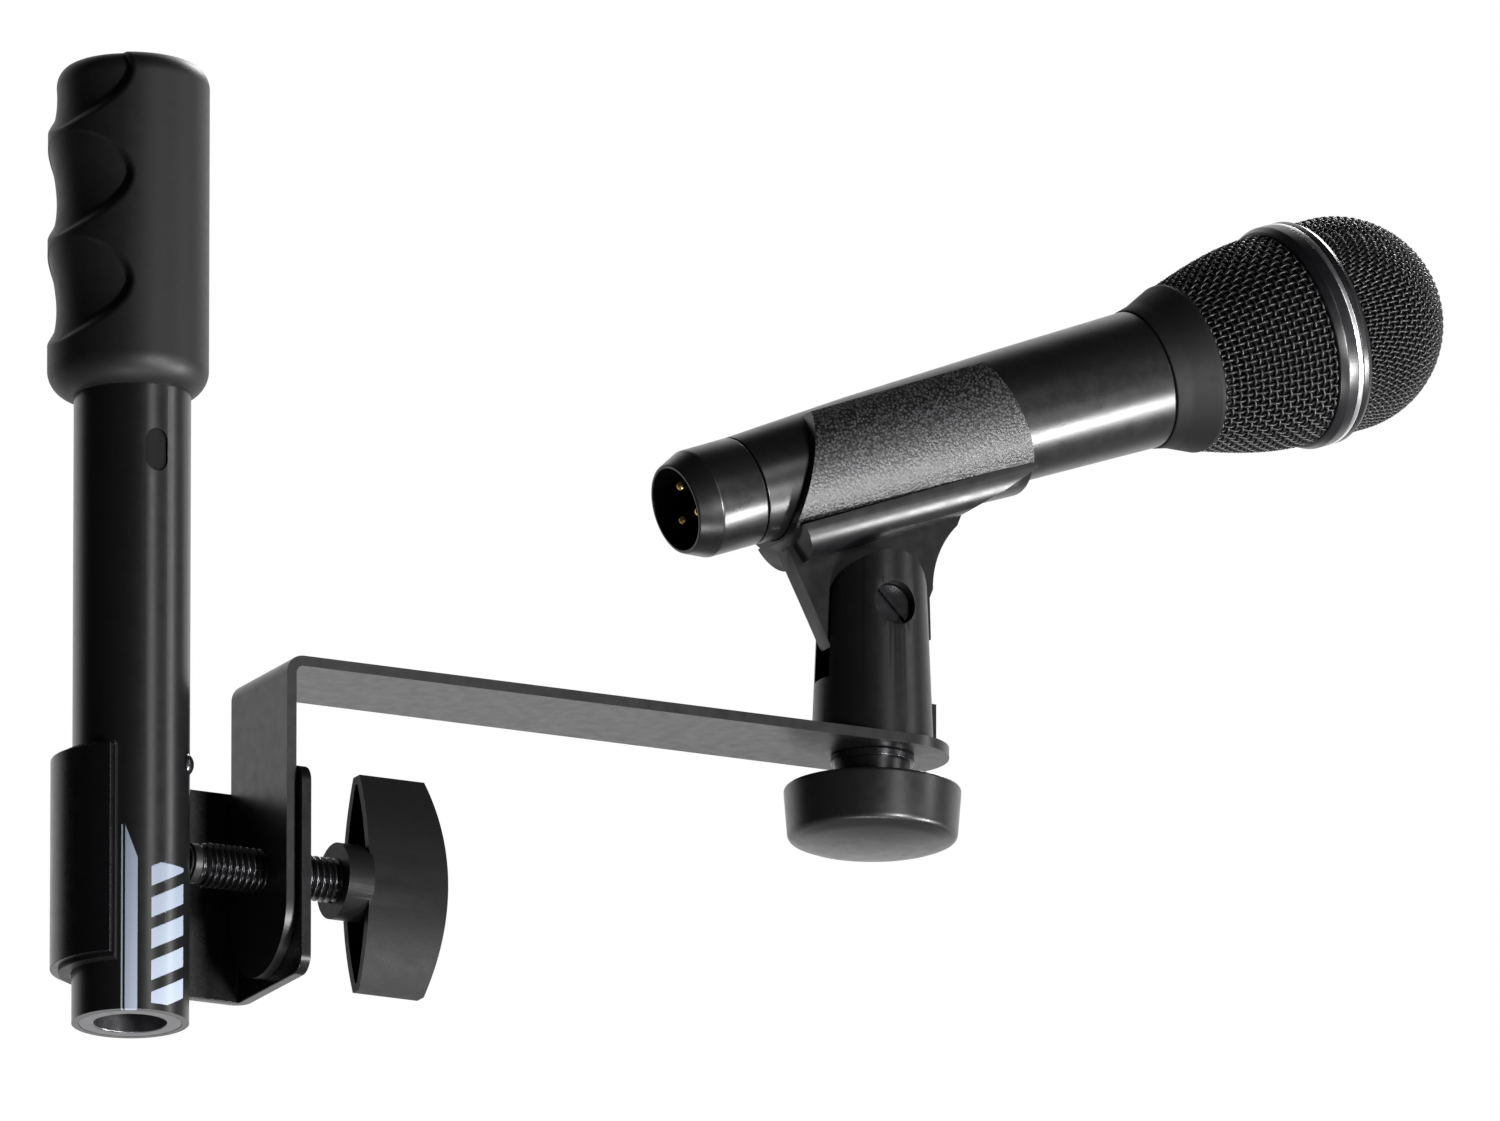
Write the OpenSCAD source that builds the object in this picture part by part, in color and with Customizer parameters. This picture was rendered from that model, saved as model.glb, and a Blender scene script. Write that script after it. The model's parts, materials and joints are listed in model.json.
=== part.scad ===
// Clamp-on microphone boom: a one-inch upright with a finger-grooved grip, a C-clamp with a
// bar knob, a bent flat boom, a knob and stud at its end, a tilting clip and a vocal microphone.
// Origin: centre of the upright's lower end. +Z runs up the upright, +X along the boom.

/* [Upright] */
// Outside diameter of the upright tube
tube_d = 25.4; // [24:0.1:27]
// Wall of the upright tube
tube_wall = 1.5; // [1:0.1:2.5]
// Height of the tube, most of whose top is inside the grip
tube_h = 205; // [190:1:240]
// Height at which the grip starts
grip_z = 139.5; // [120:0.5:145]
// Length of the grip
grip_h = 74; // [60:1:80]
// Radius of the grip away from the fingers
grip_r = 16.4; // [15:0.1:19]
// How far the finger side stands out further
finger_bulge = 2.3; // [1:0.1:4]
// Distance from one finger groove to the next
finger_pitch = 23.8; // [20:0.1:26]
// Depth of a finger groove
finger_depth = 2; // [1:0.1:2.5]
// Height of the slot in the tube
slot_z = 125; // [110:1:130]

/* [Clamp] */
// Height of the clamp's lower edge
clamp_z = 11.8; // [5:0.1:20]
// Height of the clamp channel
clamp_h = 46.5; // [40:0.5:60]
// Sheet of the clamp
clamp_sheet = 2.4; // [2:0.1:3]
// Thickness of the vinyl saddle
saddle_wall = 2.2; // [1.5:0.1:3]
// How far the hook reaches round past the far side of the tube, in degrees
hook_past = 50; // [30:1:60]
// Outer face of the clamp's flange
flange_x = 35.3; // [32:0.1:45]
// Diameter of the clamp bolt
bolt_d = 10; // [8:0.5:12]

/* [Boom bar] */
// Width of the flat bar
bar_w = 28; // [24:0.5:30]
// Thickness of the flat bar
bar_t = 2.3; // [2:0.1:2.4]
// Height of the bar's upper face
bar_top = 82.7; // [75:0.1:95]
// Outside radius of the bend
bend_r = 4; // [3:0.5:8]
// Centre of the round end of the arm
bar_end_x = 181; // [150:1:240]
// Where the clip's stud stands on the arm
post_x = 178; // [120:1:181]

/* [Knobs] */
// Length of the bar knob
knob_l = 48; // [40:1:56]
// Width of the bar knob at the middle
knob_w = 13.6; // [11:0.1:16]
// Thickness of the bar knob at the middle
knob_t = 18.8; // [14:0.1:22]
// Distance from the flange to the bar knob's hub
knob_gap = 13; // [8:0.1:18]
// Diameter of the round knob under the arm
post_knob_d = 38.8; // [30:0.1:44]

/* [Clip] */
// Diameter of the threaded stud, five eighths of an inch
stud_d = 15.875; // [15.875]
// Height of the clip's pivot above the arm
pivot_h = 29.6; // [27:0.1:34]
// Distance from the pivot to the microphone's axis
mic_rise = 33.9; // [32:0.1:40]
// Tilt of the microphone above level, in degrees
mic_tilt = 20.9; // [0:0.1:40]
// Thickness of the cradle's tongue
tongue_t = 5; // [4:0.5:7]

/* [Microphone] */
// Diameter of the handle at its tail
tail_d = 24.1; // [22:0.1:26]
// Diameter of the handle under the head
neck_d = 30.6; // [28:0.1:32]
// Diameter of the head's band
head_d = 50; // [46:0.5:54]

/* [Hidden] */

$fn = 96;
eps = 0.01;          // overlap that makes a cut clean
fit = 0.05;          // radial clearance of a running fit
gap = 0.3;           // air between faces that must not touch

tube_r = tube_d / 2;
saddle_r = tube_r + fit;
hook_in = saddle_r + saddle_wall + fit;
hook_out = hook_in + clamp_sheet;
grip_top = grip_z + grip_h;
clamp_top = clamp_z + clamp_h;
bolt_z = clamp_z + 25.6;
bolt_r = bolt_d / 2 - fit;
leg_x = flange_x - clamp_sheet - bar_t - 0.1;   // inner face of the bar's leg
flange_front = -16.4;
tip_x = tube_r + gap;
tip_l = 2.4;
hub_x = flange_x + knob_gap;
hub_r = 8.35;
hub_l = 5.5;
boss_r = 6.6;        // inside the bar knob's pocket
hex_r = 5.7;         // bolt head moulded into the bar knob
hex_l = 6.4;
knob_x = hub_x + hub_l;
knob_wall = 1.8;
bar_low = bar_top - bar_t;
stud_r = stud_d / 2;
post_knob_top = 73.2;
post_knob_h = 13.6;
pivot_z = bar_top + pivot_h;
cheek_r = 12.1;
pin_r = 2.5;
slot_w = tongue_t + 2;
base_low_r = 13.3;
base_up_r = 12.1;
base_z = bar_top + 0.1;
finger_dir = 186;               // direction of the fingers, in degrees round the tube
rivet_dir = -38;                // direction of the rivet
rivet_r = 1.6;
rivet_z = 57;

// Places along the microphone, from the foot of the cradle's pivot
tail_s = -38;
seam_s = -21.6;
neck_s = 82;
collar_s = 93;
band_s = 119.3;
band_l = 8.2;
dome_wall = 6.3;
trim_s = band_s + 4.3;          // start of the bright ring
trim_l = 1.3;
tail_r = tail_d / 2;
neck_r = neck_d / 2;
collar_r = 18.8;
head_r = head_d / 2;
mesh_t = 1.1;
dome_r = head_r - 1.1;
foam_inset = 2;
cradle_s0 = -14.6;
cradle_s1 = 45;
cradle_wall = 2.6;
eye_r = 11.9;
keel_y = mic_rise - 19.1;       // underside of the keel, above the pivot
keel_w = 9;
shell_up = 11.5;                // how far the shell reaches above the microphone's axis
slot_deep = 16;                 // depth of the base's slot below the pivot
bush_h = 11.6;

function handle_r(s) = tail_r + (neck_r - tail_r) * (s - seam_s) / (neck_s - seam_s);

// Puts a shape drawn along +Z onto the microphone's axis
module on_mic() {
    translate([post_x, 0, pivot_z]) rotate([0, -mic_tilt, 0])
        translate([0, 0, mic_rise]) rotate([0, 90, 0]) children();
}

// The cradle's own frame: origin at the pivot, X along the microphone
module at_pivot() {
    translate([post_x, 0, pivot_z]) rotate([0, -mic_tilt, 0]) children();
}

// A cylinder from (0,0,z0) to z1 with a bore
module pipe(r, bore, z0, z1) {
    difference() {
        translate([0, 0, z0]) cylinder(r = r, h = z1 - z0);
        translate([0, 0, z0 - 1]) cylinder(r = bore, h = z1 - z0 + 2);
    }
}

// A rod along +X from x0 to x1 through height z
module rod_x(r, x0, x1, z) {
    translate([x0, 0, z]) rotate([0, 90, 0]) cylinder(r = r, h = x1 - x0);
}

// A rod along Y between y0 and y1, in the pivot's frame
module rod_y(r, y0, y1) {
    translate([0, y1, 0]) rotate([90, 0, 0]) cylinder(r = r, h = y1 - y0);
}

// ---- Upright ----

module slot_outline(width, length) {
    for (side = [-1, 1])
        translate([0, side * (length - width) / 2]) circle(d = width);
    square([width, length - width], center = true);
}

module slot_cut(width, length, depth) {
    translate([0, -tube_r - 1, slot_z]) rotate([90, 0, 0])
        mirror([0, 0, 1]) linear_extrude(depth + 1) slot_outline(width, length);
}

module upright_tube() {
    color("#101011") difference() {
        pipe(tube_r, tube_r - tube_wall, 0, tube_h);
        slot_cut(5.2, 9.5, tube_wall + 1);
        turn_to_rivet() rod_x(rivet_r + fit, tube_r - 2 * tube_wall, tube_r + 1, rivet_z);
    }
}

// Side profile of the grip, with round shoulders
module grip_profile(r) {
    low = 6;
    high = 5;
    translate([0, grip_z]) square([r - low, grip_h]);
    translate([0, grip_z + low]) square([r, grip_h - low - high]);
    translate([r - low, grip_z + low]) circle(r = low);
    translate([r - high, grip_top - high]) circle(r = high);
}

// The grip is turned about an axis a little towards the fingers
module on_grip_axis() {
    rotate([0, 0, finger_dir]) translate([finger_bulge / 2, 0, 0]) children();
}

module hand_grip() {
    finger_reach = 58;              // degrees that a groove runs each way round the grip
    groove_r = 20;
    outer = grip_r + finger_bulge / 2;
    color("#1b1b1c") difference() {
        on_grip_axis() rotate_extrude() grip_profile(outer);
        for (i = [0 : 2])
            on_grip_axis() rotate([0, 0, -finger_reach]) rotate_extrude(angle = 2 * finger_reach)
                translate([outer - finger_depth + groove_r,
                           grip_z + 17.5 + i * finger_pitch]) circle(r = groove_r);
        translate([0, 0, grip_z - 1]) cylinder(r = tube_r, h = grip_h + 2);
    }
}

module top_plug() {
    color("#161617") union() {
        pipe(tube_r - tube_wall, tube_r - 2 * tube_wall, tube_h - 14, tube_h);
        translate([0, 0, tube_h]) cylinder(r = tube_r, h = grip_top - tube_h - 1.6);
        translate([0, 0, grip_top - 1.6]) cylinder(r1 = tube_r, r2 = tube_r - 1.4, h = 1.6);
    }
}

module slot_key() {
    color("#0c0c0d") intersection() {
        pipe(tube_r - 0.5, tube_r - tube_wall, slot_z - 8, slot_z + 8);
        slot_cut(5.2, 9.5, 6);
    }
}

module turn_to_rivet() {
    rotate([0, 0, rivet_dir]) children();
}

module tube_rivet() {
    tail = tube_r - tube_wall - 1.2;
    head_r = rivet_r + 0.7;
    crown_r = 3;
    color("#1c1c1e") turn_to_rivet() translate([0, 0, rivet_z]) rotate([0, 90, 0])
        rotate_extrude() {
            translate([0, tail - 0.8]) square([rivet_r + 0.8, 0.8]);
            translate([0, tail - 0.1]) square([rivet_r, tube_r - tail + 0.2]);
            translate([0, tube_r + 0.02]) intersection() {
                translate([0, 1.1 - crown_r]) circle(r = crown_r);
                square([head_r, 2]);
            }
        }
}

module base_insert() {
    color("#8c8c90") pipe(tube_r - tube_wall, stud_r, 0, 26);
}

// ---- Clamp ----

// Part of a ring in plan, from one angle to another
module ring_sector(inner, outer, from, span) {
    rotate([0, 0, from]) rotate_extrude(angle = span)
        translate([inner, 0]) square([outer - inner, clamp_h]);
}

module clamp_saddle() {
    lip = 0.9;
    color("#0e0e0f") translate([0, 0, clamp_z]) {
        ring_sector(saddle_r, saddle_r + saddle_wall, 90, 92 + hook_past);
        for (z = [-lip, clamp_h])
            translate([0, 0, z]) rotate([0, 0, 90])
                rotate_extrude(angle = 92 + hook_past)
                    translate([saddle_r, 0]) square([saddle_wall + 0.6, lip]);
    }
}

// Rounds the two free corners of the flange
module flange_corner_cut() {
    corner = 4;
    for (z = [clamp_z, clamp_top])
        translate([flange_x - clamp_sheet - 1, flange_front, z])
            mirror([0, 0, z == clamp_z ? 0 : 1]) difference() {
                translate([0, -1, -1]) cube([clamp_sheet + 2, corner + 1, corner + 1]);
                translate([-1, corner, corner]) rotate([0, 90, 0])
                    cylinder(r = corner, h = clamp_sheet + 4);
            }
}

module clamp_channel() {
    bend = clamp_sheet + 1;         // outside radius of the corner between web and flange
    color("#121213") difference() {
        union() {
            translate([0, 0, clamp_z]) ring_sector(hook_in, hook_out, 90, 90 + hook_past);
            translate([0, hook_in, clamp_z]) cube([flange_x - bend, clamp_sheet, clamp_h]);
            translate([flange_x - bend, hook_out - bend, clamp_z]) rotate_extrude(angle = 90)
                translate([bend - clamp_sheet, 0]) square([clamp_sheet, clamp_h]);
            translate([flange_x - clamp_sheet, flange_front, clamp_z])
                cube([clamp_sheet, hook_out - bend - flange_front, clamp_h]);
        }
        flange_corner_cut();
        rod_x(bolt_d / 2 + 0.5, flange_x - clamp_sheet - 1, flange_x + 1, bolt_z);
    }
}

module boom_bar() {
    half = bar_w / 2;
    leg_low = clamp_z + 2.2 + half;
    color("#4e4e50") difference() {
        union() {
            rod_x(half, leg_x, leg_x + bar_t, leg_low);
            translate([leg_x, -half, leg_low]) cube([bar_t, bar_w, bar_top - bend_r - leg_low]);
            translate([leg_x + bend_r, half, bar_top - bend_r]) rotate([90, 0, 0])
                rotate([0, 0, 90]) rotate_extrude(angle = 90)
                    translate([bend_r - bar_t, 0]) square([bar_t, bar_w]);
            translate([leg_x + bend_r, -half, bar_low])
                cube([bar_end_x - leg_x - bend_r, bar_w, bar_t]);
            translate([bar_end_x, 0, bar_low]) cylinder(r = half, h = bar_t);
        }
        rod_x(bolt_d / 2, leg_x - 1, leg_x + bar_t + 1, bolt_z);
        translate([post_x, 0, bar_low - 1]) cylinder(r = stud_r + fit, h = bar_t + 2);
    }
}

// ---- Clamp screw ----

module pressure_tip() {
    color("#1d1d1e") difference() {
        union() {
            rod_x(3.6, tip_x, tip_x + 0.5, bolt_z);
            rod_x(4.4, tip_x + 0.5, tip_x + tip_l, bolt_z);
        }
        rod_x(2.4, tip_x + 1.2, tip_x + tip_l + 1, bolt_z);
    }
}

module clamp_bolt() {
    head_x = knob_x + 1;
    color("#232325") {
        rod_x(2.35, tip_x + 1.3, tip_x + tip_l + 0.2, bolt_z);
        rod_x(bolt_r, tip_x + tip_l + 0.1, head_x, bolt_z);
        translate([head_x, 0, bolt_z]) rotate([0, 90, 0])
            cylinder(r = hex_r, h = hex_l, $fn = 6);
    }
}

// Outline of the bar knob seen along the bolt: two flat arcs with blunt tips
module knob_outline(inset) {
    tip_half = 1.6;
    rise = (knob_w / 2 - tip_half);
    arc_r = (pow(knob_l / 2, 2) + pow(rise, 2)) / (2 * rise);
    intersection() {
        knob_arc(arc_r - inset, arc_r - knob_w / 2, 1);
        knob_arc(arc_r - inset, arc_r - knob_w / 2, -1);
        square([knob_l - 2 * inset, knob_w], center = true);
    }
}

module knob_arc(r, offset_y, side) {
    translate([0, side * offset_y]) circle(r = r, $fn = 180);
}

module knob_block(inset, thickness) {
    translate([knob_x, 0, bolt_z]) rotate([0, 90, 0])
        linear_extrude(thickness) knob_outline(inset);
}

module clamp_knob() {
    crown_r = 88;                   // radius of the knob's outer face
    pocket = 11;
    head_x = knob_x + 1;
    color("#19191a") difference() {
        union() {
            difference() {
                intersection() {
                    knob_block(0, knob_t);
                    translate([knob_x + knob_t - crown_r, knob_w, bolt_z])
                        rotate([90, 0, 0]) cylinder(r = crown_r, h = 2 * knob_w, $fn = 240);
                }
                translate([-eps, 0, 0]) knob_block(knob_wall, pocket);
            }
            rod_x(hub_r, hub_x, knob_x + 0.6, bolt_z);
            rod_x(boss_r, knob_x, knob_x + pocket + 1, bolt_z);
        }
        rod_x(bolt_r, hub_x - 1, knob_x + 2, bolt_z);
        translate([head_x, 0, bolt_z]) rotate([0, 90, 0])
            cylinder(r = hex_r, h = hex_l, $fn = 6);
    }
}

// ---- Round knob and stud ----

module post_knob() {
    r = post_knob_d / 2;
    low_r = r - 0.9;
    dome = 3.6;
    z1 = post_knob_top;
    z0 = z1 - post_knob_h;
    color("#1a1a1b") difference() {
        union() {
            translate([post_x, 0, 0]) rotate_extrude() difference() {
                polygon([[0, z0], [low_r - dome, z0], [low_r, z0 + dome], [r, z1 - 1],
                         [r - 1, z1], [0, z1]]);
                translate([low_r - dome, z0 - eps]) difference() {
                    square(dome);
                    translate([0, dome]) circle(r = dome);
                }
            }
            translate([post_x, 0, z1 - eps]) cylinder(r = 8.15, h = bar_low - 1.8 - z1);
        }
        translate([post_x, 0, z1 - 9]) cylinder(r = stud_r - 1.5, h = 30);
    }
}

module post_stud() {
    color("#2a2a2c") translate([post_x, 0, 0]) {
        translate([0, 0, post_knob_top - 9]) cylinder(r = stud_r - 1.5, h = bar_low - post_knob_top + 7.2);
        translate([0, 0, bar_low - 1.8]) cylinder(r = stud_r, h = 1.8 + bar_t + bush_h - 1);
    }
}

module post_washer() {
    color("#3a3a3c") translate([post_x, 0, 0])
        pipe(9.1, stud_r, bar_low - 1.8, bar_low - 0.1);
}

// ---- Clip ----

module clip_base() {
    height = pivot_z + cheek_r - base_z;
    taper = (base_low_r - base_up_r) / (pivot_z - base_z);
    color("#131314") difference() {
        union() {
            intersection() {
                translate([post_x, 0, base_z])
                    cylinder(r1 = base_low_r, r2 = base_low_r - taper * height, h = height);
                union() {
                    translate([post_x - 20, -20, base_z]) cube([40, 40, pivot_z - base_z]);
                    translate([post_x, 20, pivot_z]) rotate([90, 0, 0])
                        cylinder(r = cheek_r, h = 40);
                }
            }
            translate([post_x + 9, -2.2, base_z]) cube([5.4, 4.4, 10.6]);
            translate([post_x - 14.2, -2.2, base_z]) cube([5, 4.4, 2.6]);
        }
        translate([post_x - 20, -slot_w / 2, pivot_z - slot_deep]) cube([40, slot_w, 50]);
        translate([post_x, 0, pivot_z]) {
            rod_y(pin_r + fit, -20, 20);
            rod_y(4.9, -20, -6.6);
            translate([0, 11.5, 0]) rotate([90, 0, 0]) cylinder(r = 4.65, h = 4.6, $fn = 6);
        }
        translate([post_x, 0, base_z - 1]) cylinder(r = 10, h = bush_h + 1);
    }
}

module thread_bush() {
    color("#b08d3c") translate([post_x, 0, 0])
        pipe(10, stud_r + fit, base_z, base_z + bush_h);
}

module pivot_screw() {
    color("#2b2b2d") at_pivot() difference() {
        union() {
            rod_y(pin_r, -7, 9.4);
            rod_y(4.7, -8.6, -6.7);
        }
        rotate([0, 45 + mic_tilt, 0]) translate([-6, -9.6, -0.6]) cube([12, 1.9, 1.2]);
    }
}

module pivot_nut() {
    color("#9a9a9d") translate([post_x, 0, pivot_z]) difference() {
        translate([0, 10.4, 0]) rotate([90, 0, 0]) cylinder(r = 4.6, h = 3.4, $fn = 6);
        rod_y(pin_r, 5, 12);
    }
}

module pivot_washers() {
    color("#6d6d70") at_pivot() for (side = [-1, 1])
        difference() {
            rod_y(8, side > 0 ? tongue_t / 2 + 0.1 : -slot_w / 2 + 0.1,
                     side > 0 ? slot_w / 2 - 0.1 : -tongue_t / 2 - 0.1);
            rod_y(pin_r + fit, -6, 6);
        }
}

// Tongue of the cradle seen along the pivot: a broad plate that flares into the keel
module tongue_outline() {
    difference() {
        union() {
            circle(r = eye_r);
            polygon([[-16.2, keel_y + 6], [-15.4, 12.5], [-14.7, 6], [-13.7, -4.4], [-8, -8.8],
                     [10.5, -8.9], [13.6, 0], [28, keel_y + 1], [28, keel_y + 5]]);
        }
        translate([35, -5.6]) circle(r = 21.2);
    }
}

// Side of the keel, which rises towards the head
module keel_outline() {
    polygon([[cradle_s0 - 0.6, keel_y + 7], [cradle_s0 + 1, keel_y], [27, keel_y + 0.6],
             [36, keel_y + 2.6], [cradle_s1, keel_y + 5.4], [cradle_s1, keel_y + 12],
             [cradle_s0 - 2, keel_y + 12]]);
}

// Section of the keel across the microphone: the shell turns under at its crisp lower edge
module keel_section() {
    half = keel_w / 2;
    top = mic_rise - 12;
    side = [for (t = [0 : 10 : 90]) [half + (11.6 - half) * cos(t), top - (top - keel_y) * sin(t)]];
    polygon(concat([for (p = side) [-p[0], p[1]]], [for (i = [9 : -1 : 0]) side[i]]));
}

// The shell's ends lean: the tail end slopes back and the head end a little
module shell_side() {
    polygon([[cradle_s0 - 3.4, 0], [cradle_s0 - 1.4, mic_rise - 11], [-4, mic_rise + shell_up],
             [cradle_s1 - 5, mic_rise + shell_up], [cradle_s1 - 1, mic_rise - 11],
             [cradle_s1, 0]]);
}

// Extrudes a side outline across the microphone by a width
module across(width) {
    at_pivot() rotate([90, 0, 0]) translate([0, 0, -width / 2])
        linear_extrude(width) children();
}

module clip_cradle() {
    s0 = cradle_s0 - 6;
    s1 = cradle_s1 + 1;
    r0 = handle_r(s0) + gap;
    r1 = handle_r(s1) + gap;
    color("#242425") difference() {
        union() {
            across(tongue_t) tongue_outline();
            intersection() {
                on_mic() translate([0, 0, s0])
                    cylinder(r1 = r0 + cradle_wall, r2 = r1 + cradle_wall, h = s1 - s0);
                across(60) shell_side();
            }
            intersection() {
                at_pivot() translate([s0, 0, 0]) rotate([90, 0, 90])
                    linear_extrude(s1 - s0) keel_section();
                across(60) keel_outline();
            }
        }
        on_mic() translate([0, 0, s0 - 1])
            cylinder(r1 = r0, r2 = r1, h = s1 - s0 + 2);
        at_pivot() rod_y(pin_r + fit, -10, 10);
    }
}

// ---- Microphone ----

module turned() {
    on_mic() rotate_extrude() children();
}

module mic_handle() {
    wall = 1.8;
    color("#1d1d1e") turned() polygon([
        [tail_r - wall, seam_s + 0.2], [tail_r, seam_s + 0.2], [neck_r, neck_s],
        [neck_r + 1, neck_s + 3.5], [collar_r, collar_s - 1], [collar_r, collar_s],
        [collar_r - 1.6, collar_s], [collar_r - 1.6, collar_s + 5],
        [collar_r - 3.4, collar_s + 5], [neck_r - wall, neck_s]]);
}

module tail_sleeve() {
    color("#1a1a1b") turned() polygon([
        [9.1, tail_s], [9.7, tail_s], [tail_r - 0.1, tail_s + 5], [tail_r, seam_s],
        [tail_r - 1.8, seam_s], [tail_r - 1.8, seam_s + 3], [9.1, seam_s + 3]]);
}

module xlr_insert() {
    color("#0b0b0c") on_mic() {
        difference() {
            translate([0, 0, -26.5]) cylinder(r = 9.1, h = 7);
            xlr_pin_set(1.2);
        }
    }
}

module xlr_pin_set(r) {
    for (angle = [-60, 60, 180])
        rotate([0, 0, angle]) translate([4.6, 0, tail_s + 2.2]) {
            translate([0, 0, r]) cylinder(r = r, h = 20 - r);
            sphere_tip(r);
        }
}

module sphere_tip(r) {
    translate([0, 0, r]) sphere(r = r);
}

module xlr_pins() {
    color("#c9a23a") on_mic() xlr_pin_set(1.2);
}

module set_screw() {
    color("#3c3c3e") on_mic() rotate([0, 0, 215]) difference() {
        translate([9.1, 0, -29]) rotate([0, 90, 0]) cylinder(r = 1.3, h = 2.6);
        translate([11.2, -0.3, -31]) cube([2, 0.6, 4]);
    }
}

// Outside radius of the lower grille, which swells from the collar to the band
function basket_r(s) = let(part = (s - collar_s) / (band_s - collar_s))
    collar_r + (head_r - 1.2 - collar_r) * sin(90 * part);

function basket_points(inset, s0, s1) =
    [for (i = [0 : 8]) let(s = s0 + (s1 - s0) * i / 8) [basket_r(s) - inset, s]];

// The space inside the lower grille, closed at the microphone's axis
module basket_space(inset, s0) {
    polygon(concat([[0, s0]], basket_points(inset, s0, band_s), [[0, band_s]]));
}

module grille_lower() {
    color("#55565a") turned() difference() {
        basket_space(0, collar_s + 0.1);
        translate([0, -eps]) basket_space(mesh_t, collar_s + 0.1);
        translate([0, band_s - 1]) square([head_r - 1.2 - mesh_t, 2]);
        square([collar_r - mesh_t, 2 * collar_s + 0.4], center = true);
    }
}

module grille_ring() {
    color("#1e1e20") turned() difference() {
        polygon([[head_r - 2.2, band_s], [head_r - 0.6, band_s], [head_r, band_s + 1.5],
                 [head_r, band_s + band_l - 1], [head_r - 0.6, band_s + band_l],
                 [head_r - 2.2, band_s + band_l]]);
        translate([head_r - 0.5, trim_s]) square([1, trim_l]);
    }
}

module trim_ring() {
    color("#b9bbbf") turned() translate([head_r - 0.5, trim_s]) square([0.45, trim_l]);
}

// A dome on the band: a short wall and half a sphere
module dome(r) {
    cylinder(r = r, h = dome_wall);
    translate([0, 0, dome_wall]) sphere(r = r);
}

module grille_dome() {
    color("#606268") on_mic() translate([0, 0, band_s + band_l]) difference() {
        dome(dome_r);
        translate([0, 0, -eps]) dome(dome_r - mesh_t);
        translate([0, 0, -2 * dome_r]) cylinder(r = 2 * dome_r, h = 2 * dome_r);
    }
}

module foam_screen() {
    color("#262628") on_mic() difference() {
        union() {
            intersection() {
                translate([0, 0, band_s + band_l]) dome(dome_r - foam_inset);
                translate([0, 0, band_s]) cylinder(r = head_r, h = 60);
            }
            translate([0, 0, band_s]) cylinder(r = dome_r - foam_inset, h = band_l + 1);
            rotate_extrude() basket_space(foam_inset - 0.6, collar_s + 6);
        }
        translate([0, 0, collar_s]) cylinder(r = 14, h = band_s + band_l + 8 - collar_s);
    }
}

module mic_capsule() {
    color("#c8c9cc") on_mic() {
        translate([0, 0, 101]) cylinder(r = 11, h = 22);
        translate([0, 0, 123]) cylinder(r = 12.6, h = 5);
        translate([0, 0, 128]) cylinder(r1 = 12.6, r2 = 10, h = 2);
    }
}

module capsule_mount() {
    color("#2c2c2e") turned() polygon([
        [8, 92], [collar_r - 3.5, 92], [collar_r - 3.5, 97.5], [13, 97.5],
        [13, 106], [11.05, 106], [11.05, 100.9], [8, 100.9]]);
}

upright_tube();
hand_grip();
top_plug();
slot_key();
tube_rivet();
base_insert();
clamp_saddle();
clamp_channel();
boom_bar();
pressure_tip();
clamp_bolt();
clamp_knob();
post_knob();
post_stud();
post_washer();
clip_base();
thread_bush();
pivot_screw();
pivot_nut();
pivot_washers();
clip_cradle();
mic_handle();
tail_sleeve();
xlr_insert();
xlr_pins();
set_screw();
grille_lower();
grille_ring();
trim_ring();
grille_dome();
foam_screen();
mic_capsule();
capsule_mount();
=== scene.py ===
import json
import math

import bmesh
import bpy
from mathutils import Matrix, Vector


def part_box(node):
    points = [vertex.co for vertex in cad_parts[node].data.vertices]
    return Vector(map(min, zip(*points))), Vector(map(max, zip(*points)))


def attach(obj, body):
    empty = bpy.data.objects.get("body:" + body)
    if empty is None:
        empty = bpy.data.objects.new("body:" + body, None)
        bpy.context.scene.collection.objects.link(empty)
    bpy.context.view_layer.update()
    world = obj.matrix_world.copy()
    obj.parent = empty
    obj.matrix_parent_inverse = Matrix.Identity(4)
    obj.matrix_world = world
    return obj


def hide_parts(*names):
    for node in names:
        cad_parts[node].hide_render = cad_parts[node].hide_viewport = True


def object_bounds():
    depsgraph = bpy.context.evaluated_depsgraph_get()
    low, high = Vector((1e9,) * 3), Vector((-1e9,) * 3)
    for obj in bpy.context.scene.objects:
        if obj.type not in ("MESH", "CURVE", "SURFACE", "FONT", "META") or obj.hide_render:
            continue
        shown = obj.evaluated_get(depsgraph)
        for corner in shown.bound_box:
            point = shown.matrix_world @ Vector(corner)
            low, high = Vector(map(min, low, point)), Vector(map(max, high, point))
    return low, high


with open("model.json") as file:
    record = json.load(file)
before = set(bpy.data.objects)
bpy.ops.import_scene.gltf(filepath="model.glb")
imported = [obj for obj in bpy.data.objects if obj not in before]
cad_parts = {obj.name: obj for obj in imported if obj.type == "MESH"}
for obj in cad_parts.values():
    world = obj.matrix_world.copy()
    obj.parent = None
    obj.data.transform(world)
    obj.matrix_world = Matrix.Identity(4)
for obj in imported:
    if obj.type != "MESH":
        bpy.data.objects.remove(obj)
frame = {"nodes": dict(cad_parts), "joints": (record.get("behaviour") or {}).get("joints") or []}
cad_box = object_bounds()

MM = 0.001
TAU = 2 * math.pi

# ---- Places, from the frame ----

joints = {joint["name"]: joint for joint in frame["joints"]}
PIVOT = Vector(joints["clip_tilt"]["pos_m"])
POST = Vector(joints["clip_swivel"]["pos_m"])
MIC_AXIS = Vector(joints["mic_pull"]["axis"]).normalized()
MIC_UP = Vector((-MIC_AXIS.z, 0, MIC_AXIS.x))
MIC_RISE = 33.9 * MM                     # from the pivot up to the microphone's axis
MIC_FOOT = PIVOT + MIC_UP * MIC_RISE
TUBE_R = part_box("upright_tube")[1][0]
BOLT_Z = joints["clamp_turn"]["pos_m"][2]
CENTRE = (Vector(cad_box[0]) + Vector(cad_box[1])) / 2


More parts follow.
